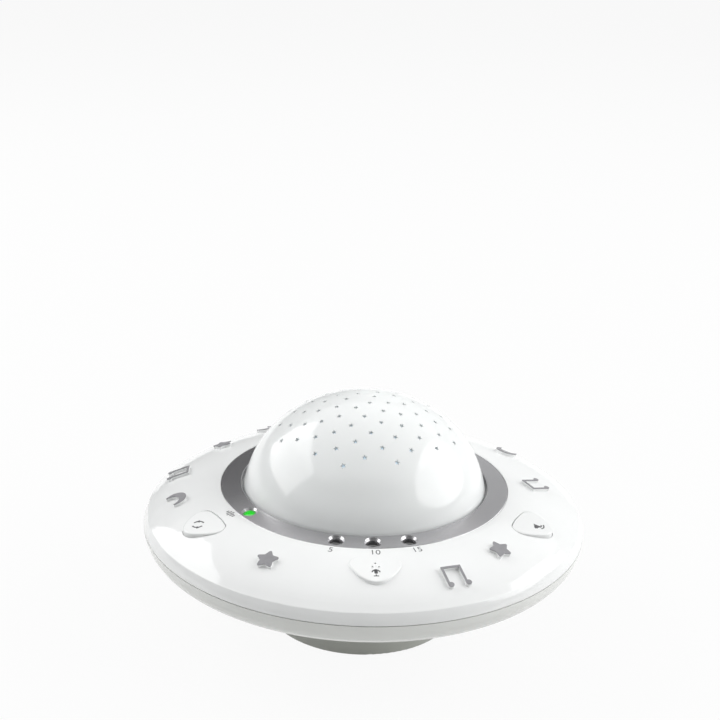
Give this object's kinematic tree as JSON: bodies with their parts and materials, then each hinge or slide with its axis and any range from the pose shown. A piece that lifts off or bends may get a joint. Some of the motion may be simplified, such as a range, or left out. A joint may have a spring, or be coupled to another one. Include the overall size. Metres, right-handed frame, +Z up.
{
  "type": "night light projector",
  "caption": "Saucer-shaped star projector: glossy two-part case on a round foot, pierced dome in a silver ring, push keys and raised ornaments.",
  "frame": {"origin": "on the surface that the rubber feet stand on, under the middle of the foot", "axes": "+Z up along the dome's axis, -Y towards the front with the row of three timer lights, +X to the right"},
  "size_m": [0.19, 0.19, 0.1011],
  "materials": {
    "white_shell": "glossy white moulded ABS, lightly polished",
    "white_underside": "satin-gloss white moulded ABS",
    "dome_white": "glossy milky white, polished",
    "window_diffuser": "thin grey-blue diffusing plastic",
    "silver_trim": "silver-grey painted plastic, satin gloss",
    "grey_print": "grey hot-stamped faces",
    "key_white": "glossy white moulded ABS",
    "green_light": "green tinted lens, lit",
    "dark_light": "smoked lens, unlit",
    "black_plastic": "black moulded plastic",
    "board_green": "green solder mask",
    "chip_black": "black moulded packages",
    "carrier_white": "matt white reflector plastic",
    "lamp_lens": "clear domed lens",
    "hood_black": "matt black",
    "mic_metal": "turned aluminium can",
    "rubber_black": "soft black rubber",
    "rubber_grey": "grey rubber",
    "screw_steel": "nickel-plated steel",
    "contact_nickel": "nickel-plated spring steel",
    "cell_wrap": "plain dark blue sleeve",
    "speaker_steel": "pressed steel basket",
    "magnet_dark": "dark ferrite",
    "cone_paper": "black paper pulp",
    "lead_sleeve": "coloured PVC insulation"
  },
  "bodies": {
    "case": {"upper_shell": "white_shell", "lower_shell": "white_underside", "trim_ring": "silver_trim", "dome_cover": "dome_white", "dome_liner": "window_diffuser", "star_caps": "grey_print", "note_caps": "grey_print", "moon_caps": "grey_print", "key_switches": "black_plastic", "key_board": "board_green", "status_led": "green_light", "timer_leds": "dark_light", "led_spacers": "black_plastic", "mic_boot": "rubber_grey", "mic_capsule": "mic_metal", "lamp_carrier": "carrier_white", "lamp_board": "board_green", "lamp_led": "lamp_lens", "lamp_hood": "hood_black", "battery_cells": "cell_wrap", "battery_contacts": "contact_nickel", "battery_springs": "contact_nickel", "rubber_feet": "rubber_black", "main_board": "board_green", "board_parts": "chip_black", "speaker_frame": "speaker_steel", "speaker_magnet": "magnet_dark", "speaker_cone": "cone_paper", "speaker_screws": "screw_steel", "slide_switch": "black_plastic", "case_screws": "screw_steel", "carrier_screws": "screw_steel", "key_board_screws": "screw_steel", "main_board_screws": "screw_steel", "lamp_screws": "screw_steel", "battery_leads": "lead_sleeve", "lamp_leads": "lead_sleeve", "key_leads": "lead_sleeve", "speaker_leads": "lead_sleeve"},
    "mode_button": {"mode_key": "key_white", "mode_plunger": "black_plastic"},
    "volume_button": {"volume_key": "key_white", "volume_plunger": "black_plastic"},
    "power_slider": {"slide_knob": "black_plastic"},
    "battery_lid": {"battery_door": "white_underside", "battery_door_screws": "screw_steel"}
  },
  "joints": [
    {"name": "mode_press", "type": "slide", "parent": "case", "child": "mode_button", "axis": [0, 0, -1], "range_m": [0, 0.0008], "stiffness_N_per_m": 1500, "springref_m": -0.0005},
    {"name": "volume_press", "type": "slide", "parent": "case", "child": "volume_button", "axis": [0, 0, -1], "range_m": [0, 0.0008], "stiffness_N_per_m": 1500, "springref_m": -0.0005},
    {"name": "power_slide", "type": "slide", "parent": "case", "child": "power_slider", "axis": [0, -1, 0], "range_m": [0, 0.004]},
    {"name": "battery_door_lift", "type": "slide", "parent": "case", "child": "battery_lid", "axis": [0, 0, -1], "range_m": [0, 0.014]}
  ]
}
